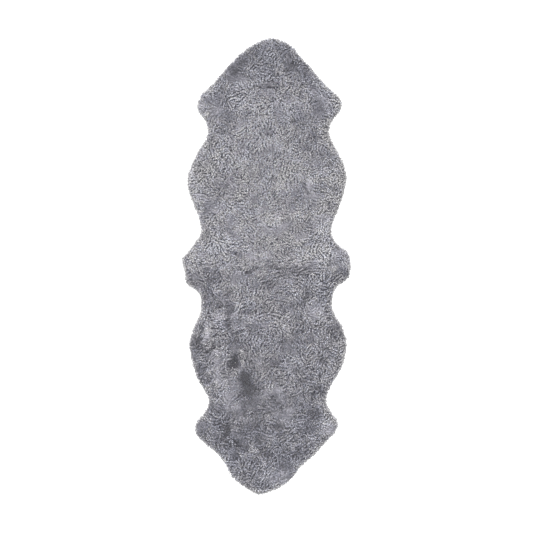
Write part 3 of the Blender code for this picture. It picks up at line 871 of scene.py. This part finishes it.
def plan_grid(pelt, outset, rows, columns):
    """A grid over the pelt's plan, as far outside the hide's edge as outset says. A row joins the points
    of the left and the right edge that lie the same share of the way from the join to the neck, and
    its places are closer at its ends. The rows by the join bend to its line."""
    line = resample(pelt.edge, OUTLINE_STEP / 2)
    _, outward = pelt.out_of_edge(line)
    outward[0], outward[-1] = (-1, 0), (1, 0)
    line = line + outward * outset
    share = np.linspace(0, 1, rows)
    at, middle = np.arange(len(line)), (len(line) - 1) / 2
    left = np.stack([np.interp(share * middle, at, line[:, k]) for k in range(2)], axis=1)
    right = np.stack([np.interp((2 - share) * middle, at, line[:, k]) for k in range(2)], axis=1)
    even = np.linspace(0, 1, columns)
    crowded = (1 - np.cos(np.pi * even)) / 2
    across = ((1 - GRID_CROWDING) * even + GRID_CROWDING * crowded)[None, :, None]
    grid = left[:, None] * (1 - across) + right[:, None] * across
    bow = np.interp(grid[0, :, 0], *pelt.join.T) - grid[0, :, 1]
    grid[..., 1] += bow * (1 - share[:, None]) ** JOIN_FADE
    return grid.reshape(-1, 2)


def close_wool(pelt, material, rng):
    """The close wool under the curls: a lumpy surface on the plan grid, a little below the canopy, with
    a wall round it down into the hide's thickness and one flat face below."""
    rows, columns = CLOSE_WOOL_GRID
    points = plan_grid(pelt, RIM - CLOSE_WOOL_INSET, rows, columns)
    _, fluff = patchwork(points)
    height = pelt.read(pelt.canopy_map, points) - CLOSE_WOOL_DEPTH + CLOSE_WOOL_RISE * fluff
    height += CLOSE_WOOL_LUMPS * smooth_noise(points, CLOSE_WOOL_LUMP_SIZE, seed=21)
    height += rng.uniform(-CLOSE_WOOL_ROUGH, CLOSE_WOOL_ROUGH, len(points))
    top = np.column_stack([points, np.maximum(height, CLOSE_WOOL_LEAST)])
    border = grid_border(rows, columns)
    foot = top[border] * (1, 1, 0) + (0, 0, CLOSE_WOOL_FOOT)
    n = len(border)
    at = rows * columns + np.arange(n)
    faces = [
        grid_faces(rows, columns),
        np.stack([border, np.roll(border, -1), np.roll(at, -1), at], axis=1),
        at[None],
    ]
    if pelt.way < 0:
        faces = [some[:, ::-1] for some in faces]
    shell = np.vstack([top, foot])
    # Its fluff only pales its painted shade: not in dark patches, more at the rim, and a little at least on
    # the far pelt
    tone, fluff = patchwork(shell)
    fluff *= np.clip(1 + DARK_STAYS * tone, 0, 1)
    fluff = np.maximum(fluff, RIM_PAINTED_LIGHT_FLUFF * pelt.at_rim(shell))
    fluff = np.maximum(fluff, CLOSE_WOOL_FLUFF[pelt.name])
    return put_mesh("close_wool_" + pelt.name, shell, faces, material, fluff=fluff)


CUT_SOFTNESS, CUT_REACH = 0.45 * MM, 1.5 * MM  # how far the hide thins at its cut edge, and from where
STITCH_HOLLOW, HOLLOW_REACH = 1.0 * MM, 5.0 * MM  # depth along the join, and reach to either side
STITCH_PITCH, STITCH_SHAKE = 5.0 * MM, 0.4 * MM
STITCH_REACH, STITCH_STRAY = 3.5 * MM, 0.3 * MM  # across the join to either side, and how uneven that is
STITCH_SLANT, STITCH_DIVE = 1.3 * MM, 1.1 * MM  # how far its ends lie along the join, and into the hide
STITCH_INSET = 6.0 * MM  # of the first and last one, from the ends of the join
THREAD, THREAD_GAP = 0.9 * MM, 0.02 * MM  # diameter, and height above the floor
THREAD_RINGS, THREAD_SIDES = 7, 6


def suede_hide(pelt, material):
    """The hide: a flat sheet on the plan grid, 2 mm thick. Its cut edge is softened by a bell curve on
    both sides, and its flesh side is hollowed along the join for the stitches. Also returns the sheet's
    flat size and area, by the shoelace formula."""
    rows, columns = HIDE_GRID
    points = plan_grid(pelt, 0, rows, columns)
    inside = pelt.read(pelt.inset_map, points) - RIM
    soft = CUT_SOFTNESS * np.exp(-((inside / CUT_REACH) ** 2))
    hollow = STITCH_HOLLOW * np.exp(-((pelt.past_join(points) / HOLLOW_REACH) ** 2))
    top = np.column_stack([points, HIDE_THICKNESS - soft])
    under = np.column_stack([points, np.maximum(soft, hollow)])
    border = grid_border(rows, columns)
    count = rows * columns
    faces = grid_faces(rows, columns)
    wall = np.stack([border, np.roll(border, -1), np.roll(border, -1) + count, border + count], axis=1)
    if pelt.way < 0:
        faces, wall = faces[:, ::-1], wall[:, ::-1]
    shell = [faces, faces[:, ::-1] + count, wall]
    hide = put_mesh("suede_hide_" + pelt.name, np.vstack([top, under]), shell, material)
    x, y = pelt.outline.T
    area = abs(np.dot(x, np.roll(y, -1)) - np.dot(y, np.roll(x, -1))) / 2
    return hide, tuple(np.ptp(pelt.outline, axis=0)), area


def seam_stitches(pelt, material, rng):
    """Whip stitches across the join on the flesh side: slanting round threads, each an arch that dives
    into the hide at both ends."""
    x = np.arange(pelt.join[0, 0] + STITCH_INSET, pelt.join[-1, 0] - STITCH_INSET, STITCH_PITCH)
    n = len(x)
    x = x + rng.uniform(-STITCH_SHAKE, STITCH_SHAKE, n)
    along = np.linspace(-1, 1, THREAD_RINGS)
    y = np.interp(x, *pelt.join.T)
    line = np.stack([
        x[:, None] + STITCH_SLANT * along,
        y[:, None] + STITCH_REACH * along + rng.uniform(-STITCH_STRAY, STITCH_STRAY, n)[:, None],
        np.tile(THREAD / 2 + THREAD_GAP + STITCH_DIVE * along**4, (n, 1)),
    ], axis=-1)
    turn = np.radians(360 / THREAD_SIDES * np.arange(THREAD_SIDES))
    run = np.gradient(line, axis=1)
    run /= np.linalg.norm(run, axis=-1)[..., None]
    side = np.cross(run, (0, 0, 1.0))
    side /= np.linalg.norm(side, axis=-1)[..., None]
    ring = np.cos(turn)[:, None] * side[:, :, None] + np.sin(turn)[:, None] * np.cross(side, run)[:, :, None]
    points = (line[:, :, None] + THREAD / 2 * ring).reshape(-1, 3)
    m, last = THREAD_SIDES, THREAD_RINGS - 1
    i, k = (a.ravel() for a in np.meshgrid(np.arange(last), np.arange(m), indexing="ij"))
    k2 = (k + 1) % m
    bands = np.stack([i * m + k, i * m + k2, (i + 1) * m + k2, (i + 1) * m + k], axis=1)
    ends = np.stack([np.arange(m)[::-1], last * m + np.arange(m)])
    first = np.arange(n)[:, None, None] * m * THREAD_RINGS
    faces = [(bands + first).reshape(-1, 4), (ends + first).reshape(-1, m)]
    return put_mesh("seam_stitches", points, faces, material)


# --- Materials -------------------------------------------------------------------------------------------

def grey(value, blue=0.0):
    """A linear grey, with so much more blue."""
    return (value, value * (1 - 0.04 * blue), value * (1 + blue), 1.0)


def greys(stops):
    """A ramp's stops from each one's place, its linear grey and, if it isn't 0, how much more blue it is."""
    return [(place, grey(*rest)) for place, *rest in stops]


class Finish:
    """A new material, with a short way to add each kind of node to it."""

    def __init__(self, name, roughness):
        self.material = bpy.data.materials.new(name)
        self.material.use_nodes = True
        self.tree = self.material.node_tree
        self.shader = self.tree.nodes["Principled BSDF"]
        self.shader.inputs["Roughness"].default_value = roughness

    def add(self, kind, output, inputs, **settings):
        """A new node's output. Each of its inputs is a socket to link from, or a plain value."""
        node = self.tree.nodes.new("ShaderNode" + kind)
        for name, value in settings.items():
            setattr(node, name, value)
        for name, value in inputs.items():
            if isinstance(value, bpy.types.NodeSocket):
                self.tree.links.new(value, node.inputs[name])
            else:
                node.inputs[name].default_value = value
        return node.outputs[output]

    def math(self, operation, a, b=0.0):
        return self.add("Math", 0, {0: a, 1: b}, operation=operation)

    def noise(self, place, scale, detail, distortion=0.0):
        inputs = {"Vector": place, "Scale": scale, "Detail": detail, "Distortion": distortion}
        return self.add("TexNoise", "Fac", inputs)

    def multiply(self, a, b):
        inputs = {"Factor": 1.0, "A": a, "B": b}
        return self.add("Mix", "Result", inputs, data_type="RGBA", blend_type="MULTIPLY")

    def ramp(self, value, stops):
        """The colour that a ramp with stops of (place, colour) gives a value."""
        colour = self.add("ValToRGB", "Color", {"Fac": value})
        ramp = colour.node.color_ramp
        while len(ramp.elements) < len(stops):
            ramp.elements.new(0.5)
        for element, (place, shade) in zip(ramp.elements, stops):
            element.position, element.color = place, shade
        return colour

    def paint(self, colour, relief, distance, strength):
        """Gives the shader its colour, and a bump: its relief, how far that stands out, and its strength."""
        inputs = {"Height": relief, "Distance": distance, "Strength": strength}
        self.tree.links.new(colour, self.shader.inputs["Base Color"])
        self.tree.links.new(self.add("Bump", "Normal", inputs), self.shader.inputs["Normal"])


# Dyed wool from its darkest tone to its palest: stops of (place, linear grey, how much more blue)
WOOL_GREYS = (
    (0.0, 0.07, 0.28), (0.25, 0.22, 0.215), (0.5, 0.46, 0.145), (0.75, 0.70, 0.090), (1.0, 0.90, 0.055)
)
# What each shade multiplies it by: the bluer, the warmer and the combed-out one
SHADE_TINTS = (
    (0.0, (0.973, 0.9855, 1.024, 1.0)),
    (0.5, (0.999, 0.9845, 0.947, 1.0)),
    (1.0, (0.992, 0.985, 0.945, 1.0)),
)
# Painted shade and light of a curl: how it pales from its shaded root to its tip and from its shaded
# underside round to its lit top, the painted shade and highlights where it is crimped and twisted, and how
# its fibres darken it: stops of (place, share)
ROOT_SHADE_TO_TIP = ((0.0, 0.25), (0.25, 0.65), (0.5, 1.0), (1.0, 1.0))
UNDER_SHADE_TO_TOP = ((0.0, 0.10), (0.33, 0.12), (0.52, 0.85), (0.65, 1.0))
CRIMP_SHADING = ((0.42, 0.36), (0.54, 1.0))
FIBRES = ((0.36, 0.60), (0.58, 1.0))
TWIST_HIGHLIGHT = ((0.0, 0.50), (0.5, 1.0))
# The noises of its crimp and its fibres: their scales across a curl, along it and off its map, and detail
CRIMP_SCALE, FIBRE_SCALE, CURL_DETAIL = (1.7 * STRIPS, 5.0, 1.0), (22.0 * STRIPS, 3.5, 1.0), 1.5
FIBRE_RELIEF, FIBRE_STRENGTH = 0.5 * MM, 0.6
# Painted highlights along a curl, where its twisted fibres would face up to the light
TWISTS = 2.0  # along a curl, whose fibres show pale where they face up
TWIST_SHIFT = 2.4  # radians from one strip to the next
# Combed-out wool has less painted shade underneath than a curl
COMBED_UNDER_SHADE = 0.42  # combed-out wool is no darker underneath than a curl is this far up
COMBED_FIBRES = -0.09  # added to the noise of its fibres, which show more
WOOL_SHEEN, SHEEN_ROUGHNESS = 0.15, 0.45


def curl_material():
    """Dyed wool in curls. Across the UV map lie strips, each of one tone and shade and once round a curl,
    and up it goes from root to tip. A curl has painted shade at its root and underside, and painted shade
    and highlights where it is crimped and twisted along its length. Combed-out wool is neither crimped nor
    twisted, and has less painted shade underneath."""
    made = Finish("curled wool", 0.9)
    uv = made.add("UVMap", "UV", {}, uv_map="OFBake")
    across, along = (made.add("SeparateXYZ", axis, {"Vector": uv}) for axis in "XY")
    strips = made.math("MULTIPLY", across, STRIPS)
    number = made.math("FLOOR", strips)
    tone = made.math("DIVIDE", made.math("FLOOR", made.math("DIVIDE", strips, SHADES)), TONES - 1)
    shade = made.math("MODULO", number, SHADES)
    combed = made.math("GREATER_THAN", shade, COMBED_OUT - 0.5)

    # Painted shade under a curl and painted light on its top, round the curl
    to_top = made.math("MULTIPLY", made.math("PINGPONG", made.math("ADD", strips, 0.5), 0.5), 2.0)
    to_top = made.math("MAXIMUM", to_top, made.math("MULTIPLY", combed, COMBED_UNDER_SHADE))
    # The first noise paints shade and light along a curl where it is crimped; the second is its fibres
    crimp_shading, fibres = (
        made.noise(made.add("Mapping", "Vector", {"Vector": uv, "Scale": scale}), 1.0, CURL_DETAIL)
        for scale in (CRIMP_SCALE, FIBRE_SCALE)
    )
    fibres = made.math("ADD", fibres, made.math("MULTIPLY", combed, COMBED_FIBRES))
    # Painted highlights of the twist; combed-out wool gets none, nor painted crimp shade
    turned = made.math("MULTIPLY", along, 2 * np.pi * TWISTS)
    twist_highlight = made.math("SINE", made.math("ADD", made.math("MULTIPLY", number, TWIST_SHIFT), turned))
    crimp_shading, twist_highlight = (made.math("MAXIMUM", combed, value) for value in (crimp_shading, twist_highlight))

    colour = made.ramp(tone, greys(WOOL_GREYS))
    colour = made.multiply(colour, made.ramp(made.math("DIVIDE", shade, SHADES - 1), SHADE_TINTS))
    painted_shading_and_fibres = (
        (along, ROOT_SHADE_TO_TIP), (to_top, UNDER_SHADE_TO_TOP), (crimp_shading, CRIMP_SHADING), (fibres, FIBRES), (twist_highlight, TWIST_HIGHLIGHT)
    )
    for value, stops in painted_shading_and_fibres:
        colour = made.multiply(colour, made.ramp(value, greys(stops)))
    made.paint(colour, fibres, FIBRE_RELIEF, FIBRE_STRENGTH)
    made.shader.inputs["Sheen Weight"].default_value = WOOL_SHEEN
    made.shader.inputs["Sheen Roughness"].default_value = SHEEN_ROUGHNESS
    return made.material


# The close wool's noises, each a scale, detail and distortion, and its colour from them and from the fluff,
# as stops like those of the wool. Its dark greys are painted shade below the curls, which the fluff pales.
GRAIN, GRAIN_GREYS_IN_SHADE = (260.0, 4.0, 1.2), ((0.35, 0.10, 0.15), (0.65, 0.44, 0.11))
HAIRS, HAIR_SHARES = (800.0, 2.0, 2.5), ((0.38, 0.5), (0.55, 1.0))
FLUFF_PAINTED_LIGHT = ((0.0, 0.28, 0.05), (1.0, 0.8))
GRAIN_RELIEF = 1.5 * MM


def close_wool_material():
    """The close wool below: dark with painted shade, with a curly grain and hairs, and its painted shade is
    paler where it is fluffed out. Both noises are on Object coordinates."""
    made = Finish("close wool", 0.95)
    place = made.add("TexCoord", "Object", {})
    grain, hairs = made.noise(place, *GRAIN), made.noise(place, *HAIRS)
    fluff = made.add("Attribute", "Fac", {}, attribute_name="fluff")
    colour = made.ramp(grain, greys(GRAIN_GREYS_IN_SHADE))
    for value, stops in ((hairs, HAIR_SHARES), (fluff, FLUFF_PAINTED_LIGHT)):
        colour = made.multiply(colour, made.ramp(value, greys(stops)))
    made.paint(colour, made.math("ADD", grain, hairs), GRAIN_RELIEF, 1.0)
    return made.material


# A matt stuff that is mottled from one colour to another, with a nap. Mottling and nap are each a noise's
# scale, detail and distortion, and relief is how far the nap stands out.
Mottled = namedtuple("Mottled", "name roughness mottling stops nap relief strength")
SUEDE = Mottled(
    name="suede",
    roughness=0.85,
    mottling=(14.0, 6.0, 0.3),
    stops=((0.3, (0.46, 0.435, 0.41, 1)), (0.7, (0.62, 0.59, 0.545, 1))),
    nap=(900.0, 3.0),
    relief=0.3 * MM,
    strength=0.4,
)
THREAD_LINEN = Mottled(
    name="linen thread",
    roughness=0.6,
    mottling=(700.0, 2.0),
    stops=((0.35, (0.40, 0.37, 0.33, 1)), (0.65, (0.55, 0.52, 0.47, 1))),
    nap=(2500.0, 2.0),
    relief=0.1 * MM,
    strength=0.6,
)


def mottled_material(kind):
    """The pale suede of the flesh side, or waxed linen thread. Both noises are on Object coordinates."""
    made = Finish(kind.name, kind.roughness)
    place = made.add("TexCoord", "Object", {})
    colour, nap = made.ramp(made.noise(place, *kind.mottling), kind.stops), made.noise(place, *kind.nap)
    made.paint(colour, nap, kind.relief, kind.strength)
    return made.material


# --- Stage -----------------------------------------------------------------------------------------------

# The photograph's frame is 533 px square. In it the rug without its wisps is 455 px long, with its middle at
# these pixels.
FRAME_PX = 533
RUG_PX = 455
RUG_MIDDLE_PX = (266.2, 266.0)
CAMERA_HEIGHT = 4.2
SENSOR = 36.0
FLOOR_HALF = 30.0  # half its side
FLOOR_WHITE, FLOOR_SHINE = 0.86, 0.1
SKY_STRENGTH = 1.28
KEY_STRENGTH = 4.92
KEY_ANGLE, KEY_TURN = 25, (36, 0, -150)  # degrees across, and turned from straight down


def add_camera():
    """A camera straight above, with the rug as large and in the same place as in the photograph."""
    to_metres = (cad_box[1].y - cad_box[0].y) / RUG_PX
    data = bpy.data.cameras.new("camera")
    data.sensor_width = SENSOR
    data.lens = SENSOR * CAMERA_HEIGHT / (FRAME_PX * to_metres)
    camera = bpy.data.objects.new("camera", data)
    camera.location = (
        (FRAME_PX / 2 - RUG_MIDDLE_PX[0]) * to_metres,
        (RUG_MIDDLE_PX[1] - FRAME_PX / 2) * to_metres,
        CAMERA_HEIGHT,
    )
    bpy.context.scene.collection.objects.link(camera)
    bpy.context.scene.camera = camera


def add_floor_and_light():
    """A plain white floor, an even white sky and one soft key light."""
    corners = FLOOR_HALF * np.array([(-1, -1, 0), (1, -1, 0), (1, 1, 0), (-1, 1, 0)])
    mesh = bpy.data.meshes.new("floor")
    mesh.from_pydata(corners.tolist(), [], [(0, 1, 2, 3)])
    floor = bpy.data.objects.new("floor", mesh)
    bpy.context.scene.collection.objects.link(floor)
    white = Finish("white floor", 0.9)
    white.shader.inputs["Base Color"].default_value = grey(FLOOR_WHITE)
    white.shader.inputs["Specular IOR Level"].default_value = FLOOR_SHINE
    mesh.materials.append(white.material)

    world = bpy.data.worlds.new("soft light")
    bpy.context.scene.world = world
    world.use_nodes = True
    sky = world.node_tree.nodes["Background"].inputs
    sky["Color"].default_value = grey(1.0)
    sky["Strength"].default_value = SKY_STRENGTH
    data = bpy.data.lights.new("key light", "SUN")
    data.energy = KEY_STRENGTH
    data.angle = np.radians(KEY_ANGLE)
    light = bpy.data.objects.new("key light", data)
    light.rotation_euler = np.radians(KEY_TURN)
    bpy.context.scene.collection.objects.link(light)
    bpy.context.scene.view_settings.view_transform = "Standard"


# --- Making it -------------------------------------------------------------------------------------------

def build_pelt(pelt, wool, close, suede, rng):
    """The pieces of a pelt. The curls of a layer are two pieces, because they have so many faces."""
    hide, flat, area = suede_hide(pelt, suede)
    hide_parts("hide_" + pelt.name)
    under = close_wool(pelt, close, rng)
    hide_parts("fleece_" + pelt.name)
    grown = []
    for layer, layer_name in zip(LAYERS, ("top", "low", "loose")):
        halves = zip(*(np.array_split(some, 2) for some in rows_of_curls(pelt, layer, rng)))
        for end, places in zip(("rump", "neck"), halves):
            grown.append((f"{layer_name}_curls_{end}", grow_curls(pelt, layer, places, rng)))
    grown += [("rim_locks", rim_locks(pelt, rng)), ("rim_wisps", rim_wisps(pelt, rng))]
    if pelt.name == "far":
        grown.append(("seam_curls", seam_curls(pelt, rng)))
    pieces = [
        put_mesh(f"{name}_{pelt.name}", points, faces, wool, uv)
        for name, (points, faces, uv) in grown
    ]


add_camera()
add_floor_and_light()
wool, close, suede = curl_material(), close_wool_material(), mottled_material(SUEDE)
for number, name in enumerate(PELTS):
    pelt = Pelt(name)
    build_pelt(pelt, wool, close, suede, np.random.default_rng(100 + number))
seam_stitches(pelt, mottled_material(THREAD_LINEN), np.random.default_rng(7))
